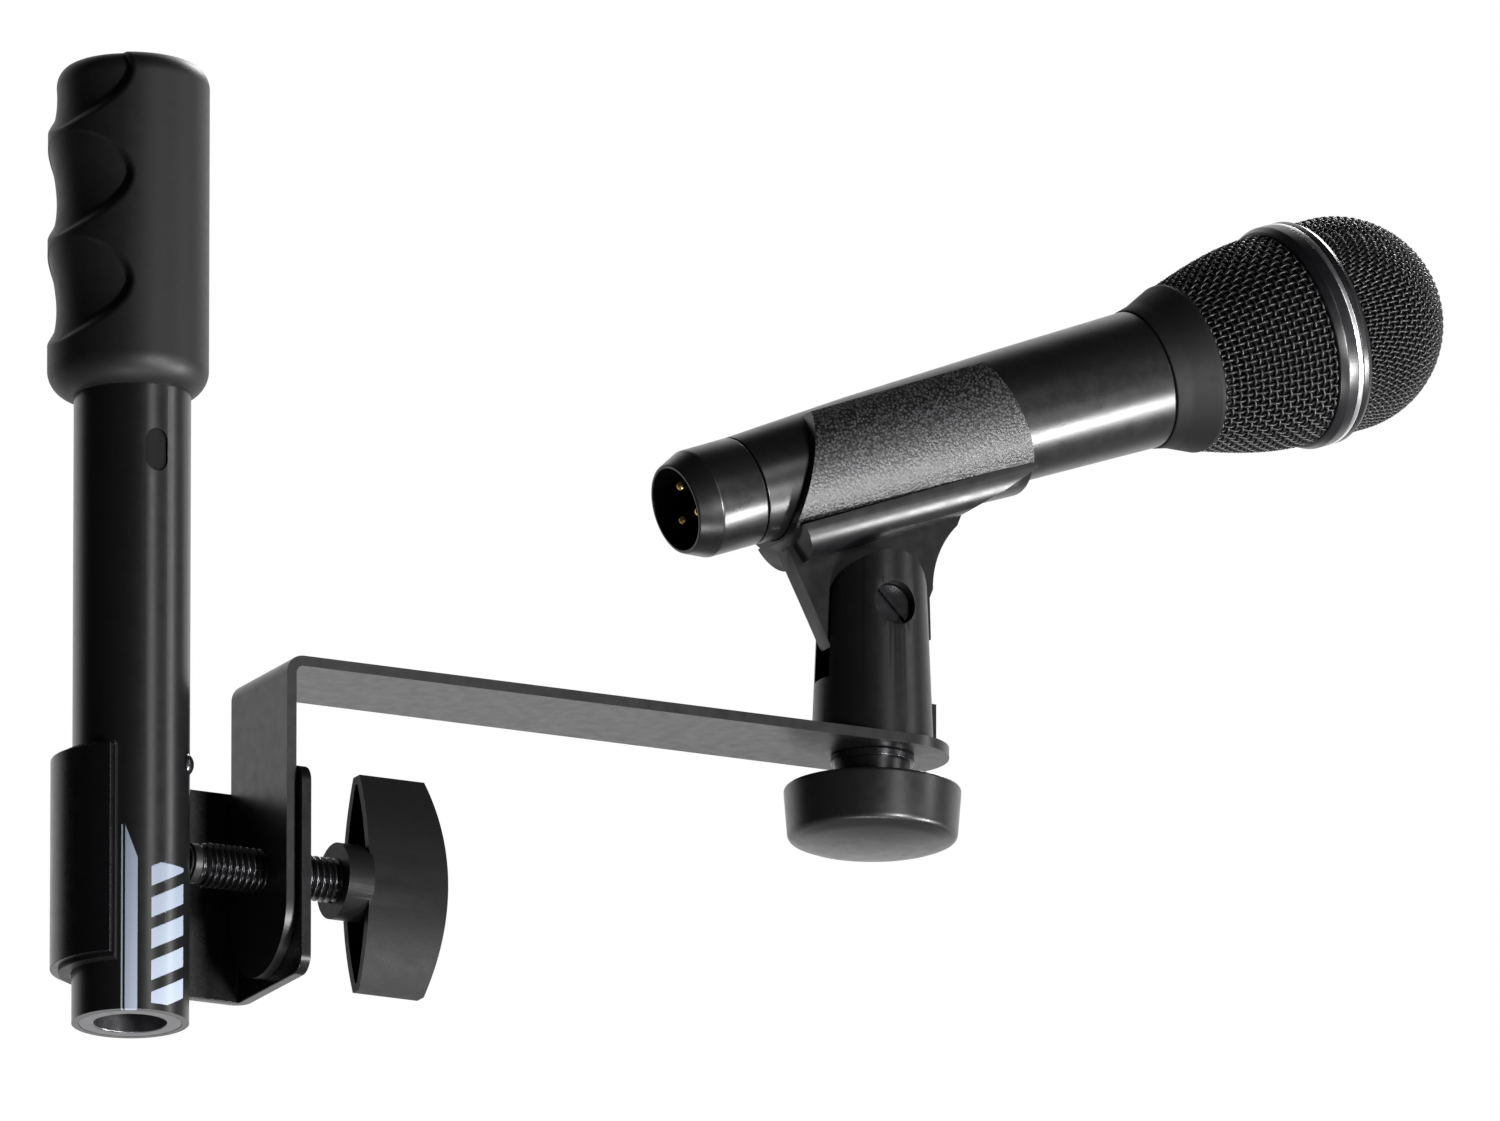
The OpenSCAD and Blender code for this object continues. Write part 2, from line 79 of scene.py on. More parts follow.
def frame_of(origin, x_axis, z_axis):
    """The matrix that puts a shape drawn about +Z at origin, along z_axis."""
    y_axis = Vector(z_axis).cross(x_axis)
    turn = Matrix((x_axis, y_axis, z_axis)).transposed().to_4x4()
    return Matrix.Translation(origin) @ turn


ALONG_MIC = frame_of(MIC_FOOT, MIC_UP, MIC_AXIS)
ALONG_BOLT = frame_of(Vector((0, 0, BOLT_Z)), Vector((0, 0, -1)), Vector((1, 0, 0)))
UP_POST = Matrix.Translation((POST.x, POST.y, 0))

# ---- Materials ----


def new_material(name):
    """A material with an empty tree but for its shader, with Object coordinates ready."""
    material = bpy.data.materials.new(name)
    material.use_nodes = True
    tree = material.node_tree
    shader = tree.nodes["Principled BSDF"]
    coords = tree.nodes.new("ShaderNodeTexCoord")
    return material, tree, shader, coords.outputs["Object"]


def noise(tree, where, size, detail, rough=0.5):
    """Noise whose grain is about size metres across."""
    node = tree.nodes.new("ShaderNodeTexNoise")
    node.inputs["Scale"].default_value = 1 / size
    node.inputs["Detail"].default_value = detail
    node.inputs["Roughness"].default_value = rough
    tree.links.new(where, node.inputs["Vector"])
    return node.outputs["Fac"]


def ranged(tree, value, low, high, from_low=0.3, from_high=0.7):
    """Stretches a value, as noise gives it by default, to run from low to high."""
    node = tree.nodes.new("ShaderNodeMapRange")
    for name, number in (("From Min", from_low), ("From Max", from_high),
                         ("To Min", low), ("To Max", high)):
        node.inputs[name].default_value = number
    tree.links.new(value, node.inputs["Value"])
    return node.outputs["Result"]


def math_node(tree, operation, first, second=None, third=None):
    node = tree.nodes.new("ShaderNodeMath")
    node.operation = operation
    for socket, value in zip(node.inputs, (first, second, third)):
        if value is None:
            continue
        if isinstance(value, (int, float)):
            socket.default_value = value
        else:
            tree.links.new(value, socket)
    return node.outputs[0]


def mixed(tree, factor, first, second):
    """One colour or the other, by a factor from 0 to 1."""
    node = tree.nodes.new("ShaderNodeMix")
    node.data_type = "RGBA"
    tree.links.new(factor, node.inputs["Factor"])
    for socket, value in ((node.inputs[6], first), (node.inputs[7], second)):
        if isinstance(value, tuple):
            socket.default_value = (*value, 1)
        else:
            tree.links.new(value, socket)
    return node.outputs[2]


def bumped(tree, shader, height, strength, distance):
    node = tree.nodes.new("ShaderNodeBump")
    node.inputs["Strength"].default_value = strength
    node.inputs["Distance"].default_value = distance
    tree.links.new(height, node.inputs["Height"])
    tree.links.new(node.outputs["Normal"], shader.inputs["Normal"])


def finish(name, colour, rough, grain, depth, metallic=0.0, coat=0.0, level=0.5,
           spread=0.04, tint=1.12, strength=0.35):
    """A coated, moulded or turned surface: fine grain, faint handling marks and tone."""
    material, tree, shader, where = new_material(name)
    shader.inputs["Metallic"].default_value = metallic
    shader.inputs["Coat Weight"].default_value = coat
    shader.inputs["Coat Roughness"].default_value = 0.15
    shader.inputs["Specular IOR Level"].default_value = level
    cloud = noise(tree, where, 0.012, 4)
    lighter = tuple(min(1.0, part * tint) for part in colour)
    tone = mixed(tree, ranged(tree, cloud, 0, 1), colour, lighter)
    tree.links.new(tone, shader.inputs["Base Color"])
    marks = noise(tree, where, 0.003, 5, 0.6)
    tree.links.new(ranged(tree, marks, rough - spread, rough + spread),
                   shader.inputs["Roughness"])
    bumped(tree, shader, noise(tree, where, grain, 2), strength, depth)
    return material


STRIPE = (4.1, 6.8)                      # millimetres around the tube, from its front
STRIPE_TOP, STRIPE_SLANT = 22.6, 2.7
HAIRLINE = (7.3, 7.65)
HAIRLINE_TOP = 41.0
BLOCKS_AROUND, BLOCKS_UP = (-8.4, 1.0), (1.5, 33.0)
BLOCK_PITCH, BLOCK_TALL, BLOCK_LEAN = 7.0, 4.4, 0.5


def printed_tube():
    """Black powder coat with a pale printed stripe, a hairline and plain slanted blocks."""
    material, tree, shader, where = new_material("tube_powder_coat")
    axes = tree.nodes.new("ShaderNodeSeparateXYZ")
    tree.links.new(where, axes.inputs[0])
    x, y, z = axes.outputs
    back = math_node(tree, "MULTIPLY", x, -1.0)
    front = math_node(tree, "MULTIPLY", y, -1.0)
    angle = math_node(tree, "ARCTAN2", back, front)      # 0 faces -Y, and grows towards -X
    across = math_node(tree, "MULTIPLY", angle, TUBE_R / MM)

    def both(first, second):
        return math_node(tree, "MULTIPLY", first, second)

    def between(value, low, high):
        return both(math_node(tree, "GREATER_THAN", value, low),
                    math_node(tree, "LESS_THAN", value, high))

    height = math_node(tree, "MULTIPLY", z, 1 / MM)
    slant = math_node(tree, "MULTIPLY_ADD", across, STRIPE_SLANT, STRIPE_TOP)
    stripe = both(between(across, *STRIPE), math_node(tree, "LESS_THAN", height, slant))
    hairline = both(between(across, *HAIRLINE),
                    math_node(tree, "LESS_THAN", height, HAIRLINE_TOP))
    lean = math_node(tree, "MULTIPLY_ADD", across, BLOCK_LEAN, height)
    step = math_node(tree, "FLOORED_MODULO", lean, BLOCK_PITCH)
    blocks = both(between(across, *BLOCKS_AROUND), between(step, 0.0, BLOCK_TALL))
    blocks = both(blocks, between(height, *BLOCKS_UP))
    print_mask = math_node(tree, "MAXIMUM", math_node(tree, "MAXIMUM", stripe, hairline), blocks)
    cloud = noise(tree, where, 0.012, 4)
    paint = mixed(tree, ranged(tree, cloud, 0, 1), (0.004, 0.004, 0.0045), (0.005, 0.005, 0.0055))
    ink = mixed(tree, ranged(tree, z, 0, 1, 0.0, 0.04), (0.29, 0.33, 0.40), (0.18, 0.21, 0.26))
    tree.links.new(mixed(tree, print_mask, paint, ink), shader.inputs["Base Color"])
    tree.links.new(ranged(tree, noise(tree, where, 0.003, 5), 0.29, 0.33),
                   shader.inputs["Roughness"])
    bumped(tree, shader, noise(tree, where, 0.0007, 2), 0.15, 0.00003)
    return material


def grain_with_painted_sparkle(name, colour, painted_crown_highlight, rough, grain, depth):
    """Coarse spark-eroded grain with a painted highlight: the raised crowns are painted a lighter
    colour, standing in for light catching them, over darker pits.
    """
    material, tree, shader, where = new_material(name)
    cells = tree.nodes.new("ShaderNodeTexVoronoi")
    cells.inputs["Scale"].default_value = 1 / grain
    tree.links.new(where, cells.inputs["Vector"])
    fine = noise(tree, where, grain * 0.8, 4, 0.65)
    height = math_node(tree, "MULTIPLY_ADD", cells.outputs["Distance"], -0.8, fine)
    # painted highlight: raised crowns take the lighter colour, pits the dark one
    tone = mixed(tree, ranged(tree, height, 0, 1, 0.0, 0.45), colour, painted_crown_highlight)
    tree.links.new(tone, shader.inputs["Base Color"])
    tree.links.new(ranged(tree, fine, rough - 0.08, rough + 0.1), shader.inputs["Roughness"])
    bumped(tree, shader, height, 0.55, depth)
    return material


FINISHES = {
    "grip": finish("grip_rubber", (0.006, 0.006, 0.0065), 0.50, 0.0006, 0.00005, level=0.3),
    "tube": printed_tube(),
    "plastic": finish("knob_plastic", (0.006, 0.006, 0.0065), 0.42, 0.0005, 0.00006, level=0.12),
    "post_plastic": finish("round_knob_plastic", (0.006, 0.006, 0.0065), 0.34, 0.0007, 0.00004),
    "clamp": finish("clamp_enamel", (0.003, 0.003, 0.0035), 0.28, 0.0010, 0.00004, level=0.4),
    "bar": finish("bar_powder_coat", (0.007, 0.007, 0.0075), 0.34, 0.0006, 0.00002),
    "vinyl": finish("saddle_vinyl", (0.004, 0.004, 0.0045), 0.40, 0.0008, 0.00004, level=0.4),
    "black_steel": finish("black_oxide_steel", (0.045, 0.045, 0.048), 0.26, 0.0004, 0.00003,
                          metallic=0.9),
    "zinc": finish("zinc_plated_steel", (0.16, 0.16, 0.17), 0.34, 0.0004, 0.00003,
                   metallic=1.0),
    "nylon": finish("black_nylon_tip", (0.010, 0.010, 0.011), 0.45, 0.0005, 0.00004),
    "clip": finish("clip_nylon", (0.004, 0.004, 0.0045), 0.38, 0.0006, 0.00003, level=0.3),
    "cradle": finish("cradle_nylon", (0.004, 0.004, 0.0045), 0.34, 0.0008, 0.00001, level=0.4),
    # the shell's grain: dark pits, and crowns painted lighter as a painted sparkle highlight
    "grained_painted_sparkle": grain_with_painted_sparkle("cradle_grain_painted_sparkle", (0.004, 0.004, 0.0045), (0.060, 0.060, 0.063),
                        0.38, 0.00065, 0.00020),
    "brass": finish("turned_brass", (0.50, 0.36, 0.13), 0.30, 0.0003, 0.00003, metallic=1.0),
    "gold": finish("gold_plating", (0.83, 0.58, 0.20), 0.22, 0.0004, 0.00002, metallic=1.0),
    "handle": finish("handle_enamel", (0.005, 0.005, 0.0055), 0.31, 0.0006, 0.00002),
    "collar": finish("collar_enamel", (0.005, 0.005, 0.0055), 0.60, 0.0005, 0.00003, level=0.2),
    "socket": finish("socket_plastic", (0.006, 0.006, 0.007), 0.45, 0.0005, 0.00004),
    "wire": finish("mesh_wire", (0.008, 0.008, 0.0085), 0.40, 0.0004, 0.00002, metallic=0.2),
    "band": finish("band_enamel", (0.004, 0.004, 0.005), 0.32, 0.0006, 0.00001),
    "chrome": finish("polished_chrome", (0.85, 0.85, 0.87), 0.30, 0.0005, 0.000005,
                     metallic=1.0, spread=0.02, tint=1.05),
    "foam": finish("open_cell_foam", (0.006, 0.006, 0.0065), 0.90, 0.0009, 0.00050, level=0.1,
                   strength=0.8),
    "capsule": finish("capsule_aluminium", (0.40, 0.40, 0.42), 0.34, 0.0003, 0.00003,
                      metallic=1.0),
    "mount": finish("mount_rubber", (0.010, 0.010, 0.010), 0.60, 0.0006, 0.00006),
}

# ---- Mesh tools ----


def add_object(name, bm, matrix=None):
    """A finished piece from a bmesh, its place in its vertices."""
    if matrix is not None:
        bm.transform(matrix)
    bmesh.ops.recalc_face_normals(bm, faces=bm.faces)
    mesh = bpy.data.meshes.new(name)
    bm.to_mesh(mesh)
    bm.free()
    piece = bpy.data.objects.new(name, mesh)
    bpy.context.scene.collection.objects.link(piece)
    return piece


def smooth(piece, degrees=32):
    mesh = piece.data
    mesh.polygons.foreach_set("use_smooth", [True] * len(mesh.polygons))
    mesh.set_sharp_from_angle(angle=math.radians(degrees))


def settle(piece, body, nodes, look):
    """Gives a piece its finish, its body and the CAD nodes that it stands for."""
    piece.data.materials.clear()
    piece.data.materials.append(FINISHES[look])
    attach(piece, body)
    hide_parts(*nodes)


def rounded(points, radii, steps=5):
    """The outline through points with each corner rounded by its radius."""
    outline = []
    for i, (corner, radius) in enumerate(zip(points, radii)):
        here = Vector(corner)
        if not radius:
            outline.append(here)
            continue
        before = Vector(points[i - 1]) - here
        after = Vector(points[(i + 1) % len(points)]) - here
        half = before.angle(after) / 2
        reach = min(radius / math.tan(half), before.length / 2, after.length / 2)
        start = here + before.normalized() * reach
        end = here + after.normalized() * reach
        for k in range(steps + 1):
            t = k / steps
            outline.append(start * (1 - t) ** 2 + here * 2 * t * (1 - t) + end * t ** 2)
    return outline


def lathe(name, outline, matrix, segments=128):
    """Turns a closed outline of (radius, height) in millimetres about the frame's Z."""
    bm = bmesh.new()
    rings = []
    for radius, height in outline:
        if radius < 1e-6:
            rings.append([bm.verts.new((0, 0, height * MM))])
            continue
        rings.append([bm.verts.new((radius * MM * math.cos(TAU * i / segments),
                                    radius * MM * math.sin(TAU * i / segments),
                                    height * MM)) for i in range(segments)])
    for first, second in zip(rings, rings[1:] + rings[:1]):
        for i in range(segments):
            j = (i + 1) % segments
            corners = [first[i % len(first)], first[j % len(first)],
                       second[j % len(second)], second[i % len(second)]]
            corners = list(dict.fromkeys(corners))
            if len(corners) > 2:
                bm.faces.new(corners)
    piece = add_object(name, bm, matrix)
    smooth(piece)
    return piece


def softened(name, node, width, segments=3, degrees=35):
    """A copy of a CAD node with its edges broken, as a moulding or a deburred pressing has."""
    bm = bmesh.new()
    bm.from_mesh(frame["nodes"][node].data)
    bmesh.ops.remove_doubles(bm, verts=bm.verts, dist=0.002 * MM)
    bmesh.ops.dissolve_limit(bm, angle_limit=math.radians(0.6), verts=bm.verts,
                             edges=bm.edges)
    piece = add_object(name, bm)
    smooth(piece, degrees)
    bevel = piece.modifiers.new("edges", "BEVEL")
    bevel.width = width * MM
    bevel.segments = segments
    bevel.limit_method = "ANGLE"
    bevel.angle_limit = math.radians(degrees)
    bevel.harden_normals = True
    return piece


def threaded(name, radius, pitch, start, end, matrix, head=None):
    """A threaded rod along the frame's Z; radius to the crests, ends chamfered."""
    around, per_turn = 40, 8
    depth = 0.61 * pitch
    steps = int((end - start) / pitch * per_turn)
    bm = bmesh.new()
    rings = []
    for k in range(steps + 1):
        height = start + (end - start) * k / steps
        ring = []
        for i in range(around):
            turn = i / around
            phase = (height / pitch - turn) % 1.0
            crest = min(1.0, max(0.0, 1.6 * (1 - abs(2 * phase - 1)) - 0.25))
            chamfer = min(1.0, (height - start) / pitch, (end - height) / pitch)
            r = radius - depth + depth * crest * max(0.0, chamfer)
            ring.append(bm.verts.new((r * MM * math.cos(TAU * turn),
                                      r * MM * math.sin(TAU * turn), height * MM)))
        rings.append(ring)
    for first, second in zip(rings, rings[1:]):
        for i in range(around):
            j = (i + 1) % around
            bm.faces.new((first[i], first[j], second[j], second[i]))
    bm.faces.new(rings[0])
    bm.faces.new(rings[-1])
    if head:
        add_hex(bm, *head)
    piece = add_object(name, bm, matrix)
    smooth(piece, 50)
    return piece


def add_hex(bm, radius, start, end):
    rings = [[bm.verts.new((radius * MM * math.cos(TAU * i / 6),
                            radius * MM * math.sin(TAU * i / 6), height * MM))
              for i in range(6)] for height in (start, end)]
    bm.faces.new(rings[0])
    bm.faces.new(rings[1])
    for i in range(6):
        j = (i + 1) % 6
        bm.faces.new((rings[0][i], rings[0][j], rings[1][j], rings[1][i]))


# ---- Upright ----

FINGER_DIR = math.radians(186)
GRIP_OUT = 17.5                          # radius of the grip about its own axis
GRIP_SHIFT = 1.15                        # from the tube's axis to the grip's
LOW_SHOULDER, HIGH_SHOULDER = 6.0, 5.0   # radii of the grip's rounded ends
FINGERS = 3
FINGER_START, FINGER_PITCH = 21.5, 23.8
FINGER_HALF = 0.49                       # half a groove's height, as a share of the pitch
FINGER_DEEP = 1.95
FINGER_REACH = math.radians(63)          # how far round a groove goes each way
GRIP_FIT = 0.02                          # room between the grip and the tube


def ease(value, low, high):
    """A smooth step from 0 at low to 1 at high."""
    t = min(1.0, max(0.0, (value - low) / (high - low)))
    return t * t * (3 - 2 * t)


def grip_radius(side, height, low, high):
    """Radius of the grip: side is the angle from the fingers, height is in millimetres."""
    radius = GRIP_OUT
    for shoulder, from_end in ((LOW_SHOULDER, height - low), (HIGH_SHOULDER, high - height)):
        radius -= shoulder - math.sqrt(shoulder ** 2 - max(0.0, shoulder - from_end) ** 2)
    for i in range(FINGERS):
        middle = low + FINGER_START + i * FINGER_PITCH
        rise = (height - middle) / (FINGER_PITCH * FINGER_HALF)
        if abs(rise) >= 1:
            continue
        reach = FINGER_REACH * math.sqrt(1 - rise ** 2)
        soft = 0.10 + 0.35 * max(0.0, -rise)
        edge = 1 - ease(abs(side), reach - soft, reach)
        down = (1 - rise) / 2
        hollow = math.sin(math.pi * down ** 1.35)
        radius -= FINGER_DEEP * hollow ** 0.8 * edge
    return radius


def make_grip():
    low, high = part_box("hand_grip")[0][2] / MM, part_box("hand_grip")[1][2] / MM
    bore = TUBE_R / MM + GRIP_FIT
    columns, rows = 288, 300
    shift = Vector((math.cos(FINGER_DIR), math.sin(FINGER_DIR), 0)) * GRIP_SHIFT
    bm = bmesh.new()
    rings = []

    def ring(radius_of, height, centre):
        return [bm.verts.new(((centre.x + radius_of(TAU * i / columns) *
                               math.cos(TAU * i / columns + FINGER_DIR)) * MM,
                              (centre.y + radius_of(TAU * i / columns) *
                               math.sin(TAU * i / columns + FINGER_DIR)) * MM,
                              height * MM)) for i in range(columns)]

    nothing = Vector((0, 0, 0))
    rings.append(ring(lambda angle: bore, low + 0.4, nothing))
    for k in range(rows + 1):
        height = low + (high - low) * k / rows

        def radius(angle, height=height):
            side = (angle + math.pi) % TAU - math.pi
            return grip_radius(side, height, low, high)

        rings.append(ring(radius, height, shift))
    rings.append(ring(lambda angle: bore, high - 0.4, nothing))
    for first, second in zip(rings, rings[1:] + rings[:1]):
        for i in range(columns):
            j = (i + 1) % columns
            bm.faces.new((first[i], first[j], second[j], second[i]))
    piece = add_object("finger_grip", bm)
    smooth(piece, 60)
    settle(piece, "upright", ["hand_grip"], "grip")


make_grip()
tube = softened("powder_coated_tube", "upright_tube", 0.25)
settle(tube, "upright", ["upright_tube"], "tube")
for name, node, width, look, slot in (
        ("grip_top_plug", "top_plug", 0.4, "plastic", "black_plastic"),
        ("tube_slot_key", "slot_key", 0.15, "plastic", "black_plastic"),
        ("blind_rivet", "tube_rivet", 0.1, "black_steel", "dark_fastener"),
        ("socket_insert", "base_insert", 0.3, "zinc", "zinc_steel")):
    settle(softened(name, node, width), "upright", [node], look)

# ---- Clamp and bar ----

settle(softened("vinyl_saddle", "clamp_saddle", 0.12, 2), "saddle", ["clamp_saddle"], "vinyl")
settle(softened("pressed_clamp", "clamp_channel", 0.2, 2), "clamp", ["clamp_channel"],
       "clamp")
settle(softened("bent_bar", "boom_bar", 0.45, 4), "clamp", ["boom_bar"], "bar")
settle(softened("nylon_tip", "pressure_tip", 0.3), "feed", ["pressure_tip"], "nylon")

tip_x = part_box("pressure_tip")[1][0] / MM
head_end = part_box("clamp_bolt")[1][0] / MM
HEX_R, HEX_L = 5.7, 6.4
bolt = threaded("clamp_screw", 4.9, 1.5, tip_x + 0.1, head_end - HEX_L, ALONG_BOLT,
                head=(HEX_R, head_end - HEX_L, head_end))
settle(bolt, "screw", ["clamp_bolt"], "black_steel")
settle(softened("bar_knob", "clamp_knob", 1.0, 4), "screw", ["clamp_knob"], "plastic")

# ---- Round knob and stud ----

knob_bottom, knob_top = (corner[2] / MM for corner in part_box("post_knob"))
KNOB_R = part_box("post_knob")[1][0] / MM - POST.x / MM
SHOULDER = 73.2                          # top of the round knob's body
KNOB_DRAFT = 0.9                         # how much smaller the body is at its foot
KNOB_CROWN = 90.0                        # radius of the slightly domed underside
KNOB_CORNER = 2.5
KNOB_NECK_R, KNOB_BORE_R, KNOB_BORE_L = 8.15, 6.6, 8


def make_round_knob():
    low_r = KNOB_R - KNOB_DRAFT
    outline = [(0, knob_bottom)]
    steps = 8
    for k in range(1, steps + 1):
        r = (low_r - KNOB_CORNER) * k / steps
        outline.append((r, knob_bottom + KNOB_CROWN - math.sqrt(KNOB_CROWN ** 2 - r ** 2)))
    flank = rounded([(low_r - KNOB_CORNER, knob_bottom + 1.7), (low_r, knob_bottom + 2.2),
                     (KNOB_R, SHOULDER), (KNOB_NECK_R, SHOULDER), (KNOB_NECK_R, knob_top)],
                    [0, 2.6, 1.0, 0.5, 0], 6)
    outline += [tuple(point) for point in flank[1:]]
    outline += [(KNOB_BORE_R, knob_top), (KNOB_BORE_R, SHOULDER - KNOB_BORE_L),
                (0, SHOULDER - KNOB_BORE_L)]
    piece = lathe("round_knob", outline, UP_POST)
    settle(piece, "post", ["post_knob"], "post_plastic")


make_round_knob()
stud_low, stud_high = (corner[2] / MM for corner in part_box("post_stud"))
settle(threaded("threaded_stud", 7.9, 25.4 / 27, stud_low + 1.4, stud_high, UP_POST),
       "post", ["post_stud"], "black_steel")
settle(softened("stud_washer", "post_washer", 0.3), "post", ["post_washer"], "black_steel")

# ---- Clip ----

for name, node, width, body, look, slot in (
        ("clip_yoke", "clip_base", 0.6, "clip", "clip", "clip_plastic"),
        ("brass_bush", "thread_bush", 0.3, "clip", "brass", "brass"),
        ("slotted_screw", "pivot_screw", 0.2, "clip", "black_steel", "dark_fastener"),
        ("hex_nut", "pivot_nut", 0.25, "clip", "zinc", "zinc_steel"),
        ("spacing_washers", "pivot_washers", 0.15, "cradle", "zinc", "zinc_steel")):
    settle(softened(name, node, width), body, [node], look)


SHELL_R = 14.0                           # outside this radius a face is the shell's outside
SHELL_LOW = -12.1                        # below this the shell meets the glossy keel


def make_cradle():
    """The cradle in two finishes: grained, with a painted sparkle highlight on the crowns, on the
    shell's outside; glossy elsewhere.
    """
    piece = softened("microphone_cradle", "clip_cradle", 0.45, 4)
    settle(piece, "cradle", ["clip_cradle"], "cradle")
    # the grain with its painted sparkle highlight goes on the shell's outside
    piece.data.materials.append(FINISHES["grained_painted_sparkle"])
    for face in piece.data.polygons:
        away = face.center - MIC_FOOT
        up = away.dot(MIC_UP)
        from_axis = math.hypot(up, away.y)
        outward = face.normal.dot((MIC_UP * up + Vector((0, away.y, 0))).normalized())
        if outward > 0.8 and from_axis > SHELL_R * MM and up > SHELL_LOW * MM:
            face.material_index = 1


make_cradle()

# ---- Microphone ----

COLLAR_R, COLLAR_S = 18.8, 93.0
SEAM_S, NECK_S = -21.6, 82.0
BAND_S, BAND_L = 119.3, 8.2
TRIM_S, TRIM_L = BAND_S + 4.3, 1.3
DOME_WALL = 6.3
HEAD_R = 25.0
TAIL_S = -38.0


def mic_part(name, points, radii, nodes, look):
    outline = [tuple(point) for point in rounded(points, radii)]
    settle(lathe(name, outline, ALONG_MIC), "microphone", nodes, look)


mic_part("handle", [(10.25, SEAM_S + 0.3), (12.05, SEAM_S + 0.3), (13.6, 10), (14.7, 50),
                    (15.3, NECK_S), (15.0, NECK_S + 0.4), (14.4, NECK_S + 0.8), (13.5, NECK_S)],
         [0, 0.3, 60, 60, 0.3, 0, 0, 0], ["mic_handle"], "handle")
mic_part("flared_collar", [(14.0, NECK_S + 0.5), (15.55, NECK_S + 0.5), (16.3, 86),
                           (COLLAR_R, 92.2), (COLLAR_R, COLLAR_S), (17.2, COLLAR_S),
                           (17.2, COLLAR_S + 5), (15.4, COLLAR_S + 5)],
         [0, 0.3, 8, 0.8, 0.2, 0, 0.3, 0], [], "collar")
mic_part("tail_sleeve_shell", [(9.15, TAIL_S), (9.9, TAIL_S), (12.0, TAIL_S + 5),
                               (12.05, SEAM_S), (10.25, SEAM_S), (10.25, SEAM_S + 3),
                               (9.15, SEAM_S + 3)],
         [0.2, 0.5, 1.5, 0.35, 0, 0, 0], ["tail_sleeve"], "handle")
mic_part("grille_band", [(22.9, BAND_S), (24.2, BAND_S), (HEAD_R, BAND_S + 1.8),
                         (HEAD_R, TRIM_S), (24.5, TRIM_S), (24.5, TRIM_S + TRIM_L),
                         (HEAD_R, TRIM_S + TRIM_L), (HEAD_R, BAND_S + BAND_L - 1.2),
                         (24.3, BAND_S + BAND_L), (22.9, BAND_S + BAND_L)],
         [0, 0.4, 1.0, 0.15, 0, 0, 0.15, 0.5, 0.3, 0], ["grille_ring"], "band")
mic_part("bright_ring", [(24.45, TRIM_S + 0.02), (24.98, TRIM_S + 0.02),
                         (24.98, TRIM_S + TRIM_L - 0.02), (24.45, TRIM_S + TRIM_L - 0.02)],
         [0, 0.5, 0.5, 0], ["trim_ring"], "chrome")
for name, node, width, look, slot in (
        ("socket_core", "xlr_insert", 0.2, "socket", "connector_plastic"),
        ("contact_pins", "xlr_pins", 0.02, "gold", "gold_pins"),
        ("locking_screw", "set_screw", 0.1, "black_steel", "dark_fastener"),
        ("foam_windscreen", "foam_screen", 0.3, "foam", "foam"),
        ("capsule_can", "mic_capsule", 0.4, "capsule", "capsule_metal"),
        ("capsule_cushion", "capsule_mount", 0.4, "mount", "mount_rubber")):
    settle(softened(name, node, width), "microphone", [node], look)

# ---- Woven grille ----


def wire_tree():
    """Turns each edge chain into a round wire."""
    tree = bpy.data.node_groups.new("woven_wire", "GeometryNodeTree")
    face = tree.interface
    face.new_socket("Geometry", in_out="INPUT", socket_type="NodeSocketGeometry")
    face.new_socket("Wire radius", in_out="INPUT", socket_type="NodeSocketFloat")
    face.new_socket("Sides", in_out="INPUT", socket_type="NodeSocketInt")
    face.new_socket("Finish", in_out="INPUT", socket_type="NodeSocketMaterial")
    face.new_socket("Geometry", in_out="OUTPUT", socket_type="NodeSocketGeometry")
    add, link = tree.nodes.new, tree.links.new
    given = add("NodeGroupInput")
    curve = add("GeometryNodeMeshToCurve")
    link(given.outputs["Geometry"], curve.inputs["Mesh"])
    section = add("GeometryNodeCurvePrimitiveCircle")
    link(given.outputs["Wire radius"], section.inputs["Radius"])
    link(given.outputs["Sides"], section.inputs["Resolution"])
    wire = add("GeometryNodeCurveToMesh")
    link(curve.outputs["Curve"], wire.inputs["Curve"])
    link(section.outputs["Curve"], wire.inputs["Profile Curve"])
    shade = add("GeometryNodeSetShadeSmooth")
    link(wire.outputs["Mesh"], shade.inputs["Geometry"])
    real = add("GeometryNodeRealizeInstances")
    link(shade.outputs["Geometry"], real.inputs["Geometry"])
    coat = add("GeometryNodeSetMaterial")
    link(real.outputs["Geometry"], coat.inputs["Geometry"])
    link(given.outputs["Finish"], coat.inputs["Material"])
    out = add("NodeGroupOutput")
    link(coat.outputs["Geometry"], out.inputs["Geometry"])
    return tree


WIRE_TREE = wire_tree()


def woven(name, chains, nodes):
    """Wires along chains of points in the microphone's frame, in millimetres."""
    points, edges = [], []
    for chain, closed in chains:
        first = len(points)
        points += [ALONG_MIC @ (Vector(point) * MM) for point in chain]
        last = len(points) - 1
        edges += [(i, i + 1) for i in range(first, last)]
        if closed:
            edges.append((last, first))
    mesh = bpy.data.meshes.new(name + "_paths")
    mesh.from_pydata(points, edges, [])
    paths = bpy.data.objects.new(name + "_paths", mesh)
    bpy.context.scene.collection.objects.link(paths)
    weave = paths.modifiers.new("wires", "NODES")
    weave.node_group = WIRE_TREE
    values = {"Wire radius": WIRE_R * MM, "Sides": WIRE_SIDES, "Finish": FINISHES["wire"]}
    for item in WIRE_TREE.interface.items_tree:
        if item.in_out == "INPUT" and item.name in values:
            weave[item.identifier] = values[item.name]
    graph = bpy.context.evaluated_depsgraph_get()
    made = bpy.data.meshes.new_from_object(paths.evaluated_get(graph))
    bpy.data.objects.remove(paths)
    piece = bpy.data.objects.new(name, made)
    bpy.context.scene.collection.objects.link(piece)
    settle(piece, "microphone", nodes, "wire")


